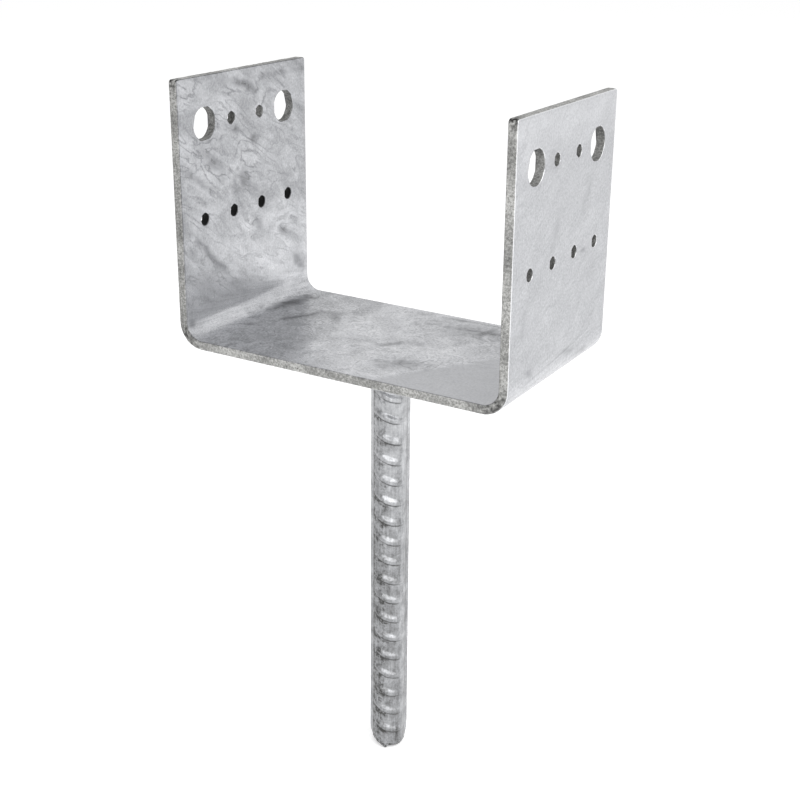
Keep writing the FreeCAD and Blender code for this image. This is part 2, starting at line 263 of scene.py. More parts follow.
# The zinc lies in soft waves of a few hundredths of a millimetre. The shears and punches
# leave the sides rougher, and torn on the half where the metal broke away.
zinc_wave_height = 0.05 * MM
zinc_wave_length = 9 * MM
side_tear_depth = 0.16 * MM
side_tear_length = 1.6 * MM
wave = 0.5 + 0.5 * wavy(blank, zinc_wave_length)
tear = np.clip(0.5 + 0.9 * wavy(blank, side_tear_length), 0, 1)
broken_half = 0.6 + 0.4 * np.clip(-blank[:, 2] / (gauge / 2), -1, 1)
shaped = blank.copy()
shaped[:, 2] -= np.sign(blank[:, 2]) * (1 - sheared) * zinc_wave_height * wave
shaped[:, :2] += inward * (side_tear_depth * tear * broken_half * sheared)[:, None]


def on_left_leg(height):
    """Place along the blank of a height above the seat on the left leg."""
    return -(bend_end + height - inner_bend)


def on_right_leg(height):
    return -on_left_leg(height)


# Where the dip and the shop left darker smudges, on the side that holds the post and on
# the outside, and one band of painted shade beside the left bend: centre along the blank and
# across it, half-length, half-width, turn of the length in degrees, strength. Those of the
# seat are given from its middle.
SMUDGES_AND_SHADE_INSIDE = [
    (20 * MM, -22 * MM, 8 * MM, 5 * MM, 20, 0.7),
    (3 * MM, -3 * MM, 6 * MM, 1.3 * MM, 65, 0.7),
    (-2 * MM, -7 * MM, 4 * MM, 1.3 * MM, -20, 0.45),
    (13 * MM, 2 * MM, 4 * MM, 2 * MM, -30, 0.35),
    (-38 * MM, 14 * MM, 5 * MM, 2 * MM, -50, 0.5),
    (-54 * MM, 4 * MM, 9 * MM, 1.8 * MM, 62, 0.8),
    # Painted shade: the dark band beside the bright inner left bend.
    (-68 * MM, 21 * MM, 15 * MM, 3.5 * MM, 80, 0.9),
    (-64 * MM, -14 * MM, 2 * MM, 1.5 * MM, 0, 0.6),
    (30 * MM, 34 * MM, 9 * MM, 2 * MM, 80, 0.4),
    (on_left_leg(104 * MM), -3 * MM, 9 * MM, 1.6 * MM, 80, 0.6),
    (on_left_leg(101 * MM), 5 * MM, 6 * MM, 1.6 * MM, 60, 0.5),
    (on_left_leg(105 * MM), 27 * MM, 15 * MM, 0.9 * MM, 90, 0.4),
    (on_left_leg(79 * MM), 5 * MM, 4 * MM, 2.4 * MM, 80, 0.5),
    (on_left_leg(84 * MM), -5 * MM, 6 * MM, 0.9 * MM, 75, 0.5),
    (on_left_leg(72 * MM), -23 * MM, 9 * MM, 3.5 * MM, 50, 0.35),
    (on_left_leg(62 * MM), -2 * MM, 7 * MM, 3.5 * MM, 65, 0.45),
    (on_left_leg(66 * MM), -33 * MM, 10 * MM, 1.5 * MM, 55, 0.35),
    (on_left_leg(40 * MM), 7 * MM, 5 * MM, 2 * MM, 60, 0.5),
    (on_left_leg(33 * MM), 26 * MM, 3 * MM, 1.5 * MM, 60, 0.5),
    (on_left_leg(28 * MM), -22 * MM, 14 * MM, 1.3 * MM, 45, 0.4),
    (on_left_leg(35 * MM), -30 * MM, 12 * MM, 1.3 * MM, 40, 0.35),
    (on_left_leg(15 * MM), 38 * MM, 7 * MM, 3 * MM, 40, 0.5),
    (on_left_leg(5 * MM), -42 * MM, 3 * MM, 2.5 * MM, 0, 0.6),
    (26 * MM, 30 * MM, 21 * MM, 9 * MM, 3, 0.42),
    (24 * MM, 31 * MM, 20 * MM, 1.6 * MM, 5, 0.3),
    (48 * MM, 33 * MM, 22 * MM, 1.1 * MM, 6, 0.5),
    (60 * MM, 28 * MM, 16 * MM, 1.0 * MM, 8, 0.45),
    (16 * MM, 41 * MM, 20 * MM, 1.2 * MM, 3, 0.35),
]
SMUDGES_OUTSIDE = [
    (on_right_leg(9 * MM), -27 * MM, 1.5 * MM, 3.5 * MM, 20, 0.35),
    (on_right_leg(8 * MM), 8 * MM, 1.2 * MM, 7 * MM, 10, 0.3),
    (on_right_leg(4 * MM), 24 * MM, 1.0 * MM, 7 * MM, 0, 0.3),
    (on_right_leg(48 * MM), 19 * MM, 0.5 * MM, 3.0 * MM, 0, 0.6),
    (on_right_leg(62 * MM), -8 * MM, 6 * MM, 3 * MM, 25, 0.15),
    (on_right_leg(92 * MM), -12 * MM, 6 * MM, 4 * MM, 40, 0.16),
    (on_right_leg(72 * MM), 20 * MM, 8 * MM, 3 * MM, 30, 0.16),
    (on_right_leg(30 * MM), -34 * MM, 6 * MM, 2 * MM, 15, 0.12),
]


def dark_patches(points, patches):
    """Soft dark patches, ragged at their rims."""
    total = np.zeros(len(points))
    raggedness = 3 * MM
    ragged = 1 + 0.5 * wavy(points, raggedness, octaves=3)
    for along, across, length, width, turn, strength in patches:
        cos, sin = math.cos(math.radians(turn)), math.sin(math.radians(turn))
        x, y = points[:, 0] - along, points[:, 1] - across
        far = ((x * cos + y * sin) / length) ** 2 + ((y * cos - x * sin) / width) ** 2
        total += strength * np.exp(-far * ragged ** 2)
    return np.clip(total, 0, 1)


def ease(values, start, end):
    """0 up to the start, 1 from the end on, and smooth between them."""
    share = np.clip((values - start) / (end - start), 0, 1)
    return share * share * (3 - 2 * share)


# The left leg and the seat are streaked with wandering dross lines. The right leg is much
# plainer. The right front of the seat carries a painted shadow of the right leg: darker,
# with calmer streaks and grit.
post_side = (blank[:, 2] > 0).astype(float)
left_leg = ease(-blank[:, 0], bend_start, bend_start + 20 * MM)
right_leg = ease(blank[:, 0], bend_start, bend_start + 20 * MM)
leg_shadow_edge = 44 * MM + 0.62 * blank[:, 1] + 1.5 * MM * wavy(blank, 8 * MM)
painted_leg_shadow = ease(blank[:, 0], leg_shadow_edge, leg_shadow_edge + 4 * MM) * (1 - right_leg) * post_side
streaky = 0.95 + 0.05 * left_leg * post_side - 0.65 * right_leg - 0.75 * painted_leg_shadow
grit = 1.2 - 0.55 * np.maximum(left_leg, right_leg) - 0.8 * painted_leg_shadow

# Tone by part, with light and shade painted into it. The inside of the left leg is darker
# than the seat, its foot less so, and the right leg is darker towards its foot and at its top
# as light as the seat. The left of the seat is darkest: duller zinc with a painted reflection
# of the left leg. The bend beside it carries a painted highlight, and the right front of the
# seat the painted shadow of the right leg.
height = np.abs(blank[:, 0]) - bend_end
low_on_leg = left_leg * (1 - ease(height, 10 * MM, 50 * MM)) * post_side
left_of_seat = ease(-blank[:, 0], 24 * MM, 34 * MM) * (1 - left_leg) * post_side
bend_middle = (bend_start + bend_end) / 2
painted_bend_highlight = np.exp(-((blank[:, 0] + bend_middle) / (8 * MM)) ** 2) * post_side
# Painted light and shade in this tone: the left leg's reflection on the left of the seat, the
# highlight along the left bend and the right leg's shadow on the seat.
dullness_and_painted_light = (0.1 * right_leg + 0.15 * left_leg * post_side - 0.14 * low_on_leg + 0.13 * painted_leg_shadow
            + 0.18 * left_of_seat + 0.08 * right_leg * (1 - ease(height, 0, 90 * MM))
            - 0.1 * right_leg * ease(height, 80 * MM, 100 * MM) - 0.12 * painted_bend_highlight)

# Along its rims the strip drained to a dull line inside. The bright line along the outside rims is
# a painted highlight on the rounded edge.
rim_line_and_highlight = 4 * sheared * (1 - sheared) * np.where(post_side > 0, -0.45, 0.7)

# The dip leaves soot on the sides at each bend and at the top front corners, and a little
# all over the left leg's.
crease = (np.abs(blank[:, 0]) - bend_middle) / (9 * MM)
corner = np.hypot(np.abs(blank[:, 0]) - blank_half, blank[:, 1] + half_depth) / (5 * MM)
side_soot = 0.8 * np.exp(-crease ** 2) + 1.0 * np.exp(-corner ** 2)
side_soot *= np.clip(0.4 + 1.6 * wavy(blank, 1.5 * MM, octaves=3), 0, 1)
side_soot += 0.12 * left_leg

smudged_and_shaded = np.where(
    post_side > 0, dark_patches(blank, SMUDGES_AND_SHADE_INSIDE), dark_patches(blank, SMUDGES_OUTSIDE))

u_bracket = mesh_piece(
    "galvanised_u_strip",
    fold(*shaped.T),
    strip_faces,
    {
        "blank": blank,
        "sheared": sheared,
        "grime_and_shade": smudged_and_shaded * (1 - sheared) + np.maximum(hole_soot_and_shade, side_soot) * sheared,
        "streaky": streaky,
        "grit": grit,
        "dullness_and_painted_light": dullness_and_painted_light - rim_line_and_highlight,
        "on_leg": np.maximum(left_leg, right_leg),
    },
)


def colour(code):
    """An sRGB hex colour as the linear values that the shader takes."""
    parts = [int(code[n:n + 2], 16) / 255 for n in (1, 3, 5)]
    return [p / 12.92 if p <= 0.04045 else ((p + 0.055) / 1.055) ** 2.4 for p in parts] + [1]


def node(tree, kind, inputs=None, stops=None, **settings):
    """A node; each input takes a value or another node's output, stops fill a colour ramp."""
    made = tree.nodes.new(kind)
    for name, value in settings.items():
        setattr(made, name, value)
    for socket, value in (inputs or {}).items():
        if isinstance(value, bpy.types.NodeSocket):
            tree.links.new(value, made.inputs[socket])
        else:
            made.inputs[socket].default_value = value
    if stops:
        elements = made.color_ramp.elements
        while len(elements) < len(stops):
            elements.new(0.5)
        for element, (place, code) in zip(elements, stops):
            element.position = place
            element.color = colour(code)
    return made


# Input and output places of a colour Mix node.
FACTOR, BASE, OVER, MIXED = 0, 6, 7, 2


def material(name):
    made = bpy.data.materials.new(name)
    made.use_nodes = True
    made.node_tree.nodes.clear()
    return made, made.node_tree


def galvanised_strip():
    """Hot-dip zinc on rolled strip. It gives the eye a dull silver, cloudy where the alloy
    layer shows through, with wandering dross lines. The sheared sides are duller and pitted."""
    made, tree = material("galvanised_strip_steel")
    blank_place = node(tree, "ShaderNodeAttribute", attribute_name="blank").outputs["Vector"]
    sheared_mark = node(tree, "ShaderNodeAttribute", attribute_name="sheared").outputs["Fac"]
    grime_and_shade_mark = node(tree, "ShaderNodeAttribute", attribute_name="grime_and_shade").outputs["Fac"]
    streaky_mark = node(tree, "ShaderNodeAttribute", attribute_name="streaky").outputs["Fac"]
    grit_mark = node(tree, "ShaderNodeAttribute", attribute_name="grit").outputs["Fac"]
    dullness_and_light_mark = node(tree, "ShaderNodeAttribute", attribute_name="dullness_and_painted_light").outputs["Fac"]
    leg_mark = node(tree, "ShaderNodeAttribute", attribute_name="on_leg").outputs["Fac"]

    # Clouds of 16 mm, and a flow of 9 mm. On the legs it ran down at a slant, which drew it
    # out to two and a half times its width.
    cloud = node(tree, "ShaderNodeTexNoise", {
        "Vector": blank_place, "Scale": 1 / (16 * MM), "Detail": 6, "Roughness": 0.68,
        "Distortion": 0.5}).outputs["Fac"]
    slanted = node(tree, "ShaderNodeMapping", {
        "Vector": blank_place, "Rotation": (0, 0, math.radians(62)), "Scale": (2.5, 1, 1)},
        vector_type="TEXTURE").outputs[0]
    flow_place = node(tree, "ShaderNodeMix", {0: leg_mark, 4: blank_place, 5: slanted},
                      data_type="VECTOR").outputs[1]
    flow = node(tree, "ShaderNodeTexNoise", {
        "Vector": flow_place, "Scale": 1 / (9 * MM), "Detail": 5, "Roughness": 0.66,
        "Distortion": 0.9}).outputs["Fac"]
    # Dross lines are drawn where a second flow, of 16 mm, passes one of its evenly spaced
    # levels. They show only on the brighter clouds.
    line_flow = node(tree, "ShaderNodeTexNoise", {
        "Vector": flow_place, "Scale": 1 / (16 * MM), "Detail": 5, "Roughness": 0.5,
        "Distortion": 0.4}).outputs["Fac"]
    off_level = node(tree, "ShaderNodeMath", {0: line_flow, 1: 0.045},
                     operation="PINGPONG").outputs[0]
    line = node(tree, "ShaderNodeMapRange", {
        "Value": off_level, "From Min": 0.0, "From Max": 0.02, "To Min": 1.0, "To Max": 0.0},
        interpolation_type="SMOOTHSTEP").outputs[0]
    line_patch = node(tree, "ShaderNodeMapRange", {
        "Value": cloud, "From Min": 0.42, "From Max": 0.62}).outputs[0]
    patchy_line = node(tree, "ShaderNodeMath", {0: line, 1: line_patch},
                       operation="MULTIPLY").outputs[0]
    # Grain of 1 mm is coarser than real zinc crystals, so that it shows.
    grain = node(tree, "ShaderNodeTexNoise", {
        "Vector": blank_place, "Scale": 1 / (1.0 * MM), "Detail": 3, "Roughness": 0.75,
    }).outputs["Fac"]

    # Tone runs from 0, dark alloy, to 1, bright zinc.
    both = node(tree, "ShaderNodeMath", {0: flow, 1: cloud}, operation="ADD").outputs[0]
    clouded = node(tree, "ShaderNodeMath", {0: both, 1: 0.7, 2: -0.7},
                   operation="MULTIPLY_ADD").outputs[0]
    lined = node(tree, "ShaderNodeMath", {0: patchy_line, 1: -0.26, 2: clouded},
                 operation="MULTIPLY_ADD").outputs[0]
    by_region = node(tree, "ShaderNodeMath", {0: lined, 1: streaky_mark, 2: 0.64},
                     operation="MULTIPLY_ADD").outputs[0]
    grained = node(tree, "ShaderNodeMath", {0: grain, 1: 0.5}, operation="SUBTRACT").outputs[0]
    fine = node(tree, "ShaderNodeMath", {0: grained, 1: grit_mark, 2: by_region},
                operation="MULTIPLY_ADD").outputs[0]
    # The tone takes the per-part shifts, with their painted light and shade.
    dulled_and_lit = node(tree, "ShaderNodeMath", {0: fine, 1: dullness_and_light_mark}, operation="SUBTRACT").outputs[0]
    speckle = node(tree, "ShaderNodeMapRange", {
        "Value": grain, "From Min": 0.4, "From Max": 0.6, "To Min": 0.4, "To Max": 1.0,
    }).outputs[0]
    # Smudges darken it, the painted shade beside the left bend among them.
    grime_and_shade = node(tree, "ShaderNodeMath", {0: grime_and_shade_mark, 1: speckle},
                 operation="MULTIPLY").outputs[0]
    tone = node(tree, "ShaderNodeMath", {0: grime_and_shade, 1: -0.75, 2: dulled_and_lit},
                operation="MULTIPLY_ADD").outputs[0]
    zinc = node(tree, "ShaderNodeValToRGB", {"Fac": tone}, stops=[
        (0.0, "#5C5D5F"), (0.4, "#9FA0A3"), (0.7, "#C5C6C9"), (1.0, "#DBDCDE")]).outputs[0]

    # The sheared sides carry thinner, greyer zinc, with dark pits here and there and soot. The
    # walls of the holes take soot and painted shade, blackest in the left leg's lower holes.
    bare_alloy = colour("#45453F")
    soot_and_shade_black = colour("#101010")
    pit_patch = node(tree, "ShaderNodeMapRange", {
        "Value": cloud, "From Min": 0.5, "From Max": 0.65, "To Min": 0.22, "To Max": 0.38,
    }).outputs[0]
    pits = node(tree, "ShaderNodeMath", {0: grain, 1: pit_patch}, operation="SUBTRACT").outputs[0]
    unpitted = node(tree, "ShaderNodeMapRange", {
        "Value": pits, "From Min": 0.0, "From Max": 0.06}).outputs[0]
    side_tone = node(tree, "ShaderNodeMath", {0: cloud, 1: 0.7, 2: grain},
                     operation="MULTIPLY_ADD").outputs[0]
    torn = node(tree, "ShaderNodeValToRGB", {"Fac": side_tone}, stops=[
        (0.63, "#616160"), (0.84, "#8E8E8C"), (1.0, "#B8B8B6")]).outputs[0]
    pitted = node(tree, "ShaderNodeMix", {FACTOR: unpitted, BASE: bare_alloy, OVER: torn},
                  data_type="RGBA").outputs[MIXED]
    sooted_and_shaded = node(tree, "ShaderNodeMix", {FACTOR: grime_and_shade_mark, BASE: pitted, OVER: soot_and_shade_black},
                  data_type="RGBA").outputs[MIXED]
    sheared_part = node(tree, "ShaderNodeMapRange", {
        "Value": sheared_mark, "From Min": 0.5, "From Max": 1.0}).outputs[0]
    surface = node(tree, "ShaderNodeMix", {FACTOR: sheared_part, BASE: zinc, OVER: sooted_and_shaded},
                   data_type="RGBA").outputs[MIXED]

    # Bright zinc is smoother than bare alloy, and a sheared side is the roughest.
    zinc_roughness = node(tree, "ShaderNodeMapRange", {
        "Value": tone, "From Min": 0.3, "From Max": 0.9, "To Min": 0.38, "To Max": 0.24,
    }).outputs[0]
    roughness = node(tree, "ShaderNodeMapRange", {
        "Value": sheared_part, "To Min": zinc_roughness, "To Max": 0.55}).outputs[0]
    relief = node(tree, "ShaderNodeMath", {0: grain, 1: cloud}, operation="ADD").outputs[0]
    bump = node(tree, "ShaderNodeBump", {
        "Height": relief, "Strength": 0.35, "Distance": 0.06 * MM}).outputs[0]
    shader = node(tree, "ShaderNodeBsdfPrincipled", {
        "Base Color": surface, "Metallic": 0.8, "Roughness": roughness, "Normal": bump})
    node(tree, "ShaderNodeOutputMaterial", {"Surface": shader.outputs[0]})
    return made


u_bracket.data.materials.append(galvanised_strip())
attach(u_bracket, "root")
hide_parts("u_bracket")

# ------------------------------------------------------------------ anchor_bar
# 16 mm hot-rolled reinforcing bar, cropped in shears and cast into the foundation. The
# rolls press two rows of slanted crescent ribs into it and leave a long rib each side.
# It is galvanised with the strip, and zinc and grime gather against its ribs, with painted shade
# under them.

bar_low, bar_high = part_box("anchor_bar")
core_radius = 7.7 * MM
row_turn = math.radians(121.2)
rib_height = 1.1 * MM
rib_crest = 1.2 * MM
rib_upper_flank = math.tan(math.radians(22))
rib_upper_curve = 0.125 / MM
rib_lower_flank = math.tan(math.radians(52))
rib_reach = math.radians(56)
rib_shift = math.radians(7)
rib_slant = math.radians(18)
rib_curl = 0.025 / MM
rib_pitch = 9.9 * MM
first_rib = 10.3 * MM
last_rib_margin = 4.0 * MM
long_rib_height = 0.9 * MM
long_rib_crest = 1.8 * MM
long_rib_slope = math.tan(math.radians(25))
root_fillet = 0.45 * MM
tip_length = 8.0 * MM
tip_pinch = 0.3 * MM
tip_turn = math.radians(31.5)
tip_shoulder = 0.6 * MM
lip_round = 0.35 * MM
lip_round_length = 1.0 * MM
end_tear = 0.3 * MM
AROUND, DOWN = 132, 600

# The torn end, in millimetres: places across the shears, and how far the metal stands back
# there from its lowest burr. It was bitten off at one side and hangs in a burr beside it.
TORN_ACROSS = [-8.6, -6.2, -3.6, -1.9, -1.1, -0.3, 3.8, 5.6, 6.6, 8.6]
TORN_BACK = [3.4, 2.7, 1.4, 0.3, 0.35, 1.5, 1.3, 1.3, 1.5, 2.2]


def soft_max(a, b, blend):
    """The larger of two heights, with a fillet where they cross."""
    mix = np.clip(0.5 + 0.5 * (a - b) / blend, 0, 1)
    return b + (a - b) * mix + blend * mix * (1 - mix)


def torn_lip(across):
    """How far the sheared end stands above its lowest burr, at a place across the shears."""
    return np.interp(across / MM, TORN_ACROSS, TORN_BACK) * MM


bar_length = bar_high.z - bar_low.z
angle = np.linspace(0, 2 * math.pi, AROUND, endpoint=False)[None, :]
direction = angle + row_turn

# The last millimetres of the bar are drawn up to the torn end, less and less further up.
even_depth = np.linspace(0, bar_length, DOWN)[:, None]
rim_across = (core_radius - tip_pinch) * np.cos(direction - tip_turn)
near_end = np.clip(1 - (bar_length - even_depth) / tip_length, 0, 1)
depth = even_depth - torn_lip(rim_across) * near_end

# The two rows face opposite ways, so that each angle is measured from the nearer row. A
# crescent rib is the rim of a disc that is set off towards its row, so that it rises out
# of the core and sinks back into it. Its upper flank is easier than its lower one.
from_row = (angle + math.pi / 2) % math.pi - math.pi / 2
from_crest = from_row + rib_shift
disc_offset = (rib_height * (rib_height + 2 * core_radius)
               / (2 * rib_height + 2 * core_radius * (1 - math.cos(rib_reach))))
disc_radius = core_radius + rib_height - disc_offset
crest_radius = disc_offset * np.cos(from_crest) + np.sqrt(
    disc_radius ** 2 - (disc_offset * np.sin(from_crest)) ** 2)
across_row = core_radius * np.sin(from_row)
slant_drop = across_row * math.tan(rib_slant) - rib_curl * across_row ** 2
rib_count = math.floor((bar_length - first_rib - last_rib_margin) / rib_pitch) + 1
nearest = np.clip(np.round((depth - slant_drop - first_rib) / rib_pitch), 0, rib_count - 1)
below_rib = (depth - slant_drop - first_rib - nearest * rib_pitch) * math.cos(rib_slant)
above_crest = np.maximum(-below_rib - rib_crest / 2, 0)
below_crest = np.maximum(below_rib - rib_crest / 2, 0)
rib_radius = (crest_radius - below_crest * rib_lower_flank
              - above_crest * (rib_upper_flank + rib_upper_curve * above_crest))

from_long_rib = math.pi / 2 - np.abs(from_row)
long_rib_top = core_radius + long_rib_height
side_reach = long_rib_crest / 2 + long_rib_top * long_rib_slope
long_rib_radius = np.minimum(
    long_rib_top / np.cos(from_long_rib),
    side_reach / (np.sin(from_long_rib) + long_rib_slope * np.cos(from_long_rib)))

# The shears pinched the end, which takes the long ribs off there and rounds its lip.
radius = soft_max(np.full_like(rib_radius, core_radius), rib_radius, root_fillet)
radius = soft_max(radius, long_rib_radius + 0 * depth, root_fillet)
from_tip = bar_length - even_depth
pinched = core_radius - tip_pinch + (long_rib_height + tip_pinch) * from_tip / tip_length
radius = -soft_max(-radius, -pinched - 0 * angle, tip_shoulder)
radius -= lip_round * np.clip(1 - from_tip / lip_round_length, 0, 1) ** 2

# The zinc lies in lumps all down the bar, and the shears left small bites near its end.
# The bites are taken from elsewhere in the noise, so that they don't follow the lumps.
lump_size = 3.2 * MM
lump_height = 0.05 * MM
bite_size = 1.0 * MM
bite_depth = 0.16 * MM
elsewhere = 0.05
bar_spot = np.stack(np.broadcast_arrays(
    core_radius * np.cos(direction), core_radius * np.sin(direction), depth), axis=-1)
bar_spot = bar_spot.reshape(-1, 3)
lumps = wavy(bar_spot, lump_size, octaves=3).reshape(radius.shape)
bites = wavy(bar_spot + elsewhere, bite_size, octaves=3).reshape(radius.shape)
radius = radius + lump_height * lumps + bite_depth * near_end ** 3 * bites

# A dark line at the foot of each rib, in the angle under its lower flank, is painted shade with
# grime in it.
rib_share = np.clip((crest_radius - core_radius) / rib_height, 0, 1)
under_rib = rib_share * np.exp(-((below_rib - 1.25 * MM) / (0.3 * MM)) ** 2)

# On the third of the bar that hung lowest in the bath, ash drained off each rib and left
# specks, gathered below each rib to draw painted shade there as well, more of them towards
# the tip. The dull band below each rib on that side is painted shade.
specked_and_shaded_side_turn = math.radians(-112)
facing_specked_and_shaded_side = np.cos(direction - specked_and_shaded_side_turn)
specked_and_shaded_side = ease(facing_specked_and_shaded_side, 0.55, 0.95) * (0.5 + 0.5 * depth / bar_length)
below_each_rib = np.exp(-((below_rib - 2.2 * MM) / (1.3 * MM)) ** 2)
specks = np.clip((1.9 * bites + 0.7 * lumps) * (0.45 + 0.9 * below_each_rib), 0, 1) * specked_and_shaded_side
shade_below_ribs = specked_and_shaded_side * below_each_rib * np.clip(0.6 + lumps, 0, 1)
hollow_grime_and_shade = 0.75 * specks + 0.5 * shade_below_ribs + 0.18

# It also lies between the long ribs and in a line at the foot of each, and on the torn end.
turn_from_row = np.degrees(from_row)
between_long_ribs = ease(turn_from_row, -78, -66) * (1 - ease(turn_from_row, 36, 44))
near_foot = np.exp(-((turn_from_row + 66) / 4) ** 2)
far_foot = np.exp(-((turn_from_row - 68) / 3) ** 2)
foot_lines = 0.8 * near_foot * (0.5 + bites) + 0.25 * far_foot
torn_grime = np.clip(0.35 + 1.1 * bites, 0, 1) * near_end ** 2
bar_grime_and_shade = np.clip(
    0.9 * under_rib + between_long_ribs * hollow_grime_and_shade + foot_lines + torn_grime, 0, 1)

side_points = np.stack([
    radius * np.cos(direction), radius * np.sin(direction), bar_high.z - depth], axis=-1)

# The sheared end: rings inside the rim, on one torn face, and a point at its middle. The
# other end is closed by a fan, which the weld and the plate hide.
rim = side_points[-1]
shares = [0.94, 0.85, 0.72, 0.56, 0.38, 0.2]
end_face = np.concatenate([rim * (share, share, 1) for share in shares] + [[(0, 0, 0)]])
end_across = end_face[:, 0] * math.cos(tip_turn) + end_face[:, 1] * math.sin(tip_turn)
torn_end = np.clip(wavy(end_face * (1, 1, 0), 1.8 * MM, octaves=3), -1, 1)
end_face[:, 2] = bar_low.z + torn_lip(end_across) + end_tear * (1 + torn_end)
bar_points = np.concatenate([side_points.reshape(-1, 3), end_face, [(0, 0, bar_high.z)]])
bar_rows = DOWN + len(shares)
bar_faces = [
    (row * AROUND + n, (row + 1) * AROUND + n,
     (row + 1) * AROUND + (n + 1) % AROUND, row * AROUND + (n + 1) % AROUND)
    for row in range(bar_rows - 1) for n in range(AROUND)
]
end_centre = bar_rows * AROUND
last_row = (bar_rows - 1) * AROUND
bar_faces += [(last_row + n, end_centre, last_row + (n + 1) % AROUND) for n in range(AROUND)]
bar_faces += [((n + 1) % AROUND, end_centre + 1, n) for n in range(AROUND)]

end_grime = np.full(len(end_face) + 1, 0.7)
bar = mesh_piece(
    "galvanised_ribbed_bar",
    bar_points,
    bar_faces,
    {"grime_and_shade": np.concatenate([bar_grime_and_shade.ravel(), end_grime])},
)


def galvanised_bar():
    """Hot-dip zinc on rolled bar. It gives the eye a greyer, lumpier skin than the strip's,
    with a satin shine on the ribs' upper flanks, dull grey grime and painted shade below the
    ribs, and painted light towards its top."""
    made, tree = material("galvanised_reinforcing_bar")
    place = node(tree, "ShaderNodeTexCoord").outputs["Object"]
    grime_and_shade_mark = node(tree, "ShaderNodeAttribute", attribute_name="grime_and_shade").outputs["Fac"]
    blotch = node(tree, "ShaderNodeTexNoise", {
        "Vector": place, "Scale": 1 / (6 * MM), "Detail": 5, "Roughness": 0.65,
        "Distortion": 0.4}).outputs["Fac"]
    # Zinc ran down the bar in streaks, eight times as long as they are wide.
    drawn_down = node(tree, "ShaderNodeMapping", {
        "Vector": place, "Scale": (1, 1, 8)}, vector_type="TEXTURE").outputs[0]
    streak = node(tree, "ShaderNodeTexNoise", {
        "Vector": drawn_down, "Scale": 1 / (1.1 * MM), "Detail": 2, "Roughness": 0.6,
    }).outputs["Fac"]
    grain = node(tree, "ShaderNodeTexNoise", {
        "Vector": place, "Scale": 1 / (0.9 * MM), "Detail": 3, "Roughness": 0.7}).outputs["Fac"]
    clouded = node(tree, "ShaderNodeMath", {0: blotch, 1: 0.9, 2: -0.49},
                   operation="MULTIPLY_ADD").outputs[0]
    streaked = node(tree, "ShaderNodeMath", {0: streak, 1: 0.45, 2: clouded},
                    operation="MULTIPLY_ADD").outputs[0]
    grained = node(tree, "ShaderNodeMath", {0: grain, 1: 0.45, 2: streaked},
                   operation="MULTIPLY_ADD").outputs[0]
    # Painted light: the bar's tone is raised from its middle up to its top.
    height_on_bar = node(tree, "ShaderNodeSeparateXYZ", {0: place}).outputs["Z"]
    painted_top_light = node(tree, "ShaderNodeMapRange", {
        "Value": height_on_bar, "From Min": bar_low.z / 2, "From Max": bar_high.z,
        "To Min": 0.0, "To Max": 0.22}).outputs[0]
    lit_bare_tone = node(tree, "ShaderNodeMath", {0: grained, 1: painted_top_light}, operation="ADD").outputs[0]
    tone = node(tree, "ShaderNodeMath", {0: grime_and_shade_mark, 1: -0.55, 2: lit_bare_tone},
                operation="MULTIPLY_ADD").outputs[0]
    surface = node(tree, "ShaderNodeValToRGB", {"Fac": tone}, stops=[
        (0.0, "#4A4A49"), (0.4, "#949597"), (0.75, "#BCBDBF"), (1.0, "#D8D9DA")]).outputs[0]
    # Clean zinc shines softly; it is rougher where the grime and the painted shade lie.
    roughness = node(tree, "ShaderNodeMapRange", {
        "Value": grime_and_shade_mark, "From Min": 0.15, "From Max": 0.8, "To Min": 0.3, "To Max": 0.5,
    }).outputs[0]
    relief = node(tree, "ShaderNodeMath", {0: grain, 1: blotch}, operation="ADD").outputs[0]
    bump = node(tree, "ShaderNodeBump", {
        "Height": relief, "Strength": 0.4, "Distance": 0.08 * MM}).outputs[0]
    shader = node(tree, "ShaderNodeBsdfPrincipled", {
        "Base Color": surface, "Metallic": 0.8, "Roughness": roughness, "Normal": bump})
    node(tree, "ShaderNodeOutputMaterial", {"Surface": shader.outputs[0]})
    return made


bar.data.materials.append(galvanised_bar())
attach(bar, "root")
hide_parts("anchor_bar")

# ------------------------------------------------------------------ weld_bead
# A hand-run fillet weld in mild steel, all round the top of the bar against the underside
# of the seat, dipped in the same zinc. Each pause of the torch leaves a crescent ripple.

_, weld_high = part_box("weld_bead")
weld_top = weld_high.z
plate_toe = weld_high.x
weld_leg = plate_toe - core_radius
toe_inset = 0.4 * MM
toe_wander_height = 0.35 * MM
crown_height = 0.5 * MM
ripple_pitch = 1.9 * MM
ripple_height = 0.16 * MM
ripple_bow = 5.0
inner_radius = core_radius - 0.5 * MM
WELD_AROUND, WELD_FACE = 240, 14

face_share = np.linspace(0, 1, WELD_FACE)[None, :]
round_it = np.linspace(0, 2 * math.pi, WELD_AROUND, endpoint=False)[:, None]
ripples = round(2 * math.pi * (core_radius + weld_leg / 2) / ripple_pitch)
crescent = round_it * ripples + ripple_bow * (face_share - 0.5) ** 2
ripple = ripple_height * np.abs(np.cos(crescent / 2)) * np.sin(math.pi * face_share)
crown = crown_height * np.sin(math.pi * face_share)
toe_wander = toe_wander_height * np.sin(3 * round_it + 1) * np.sin(5 * round_it)
out = (ripple + crown) / math.sqrt(2)
weld_toe = plate_toe - toe_inset + toe_wander * (1 - face_share)
weld_radius = weld_toe - weld_leg * face_share + out
weld_z = weld_top - weld_leg * face_share * (1 + 0 * round_it) - out * (face_share > 0)

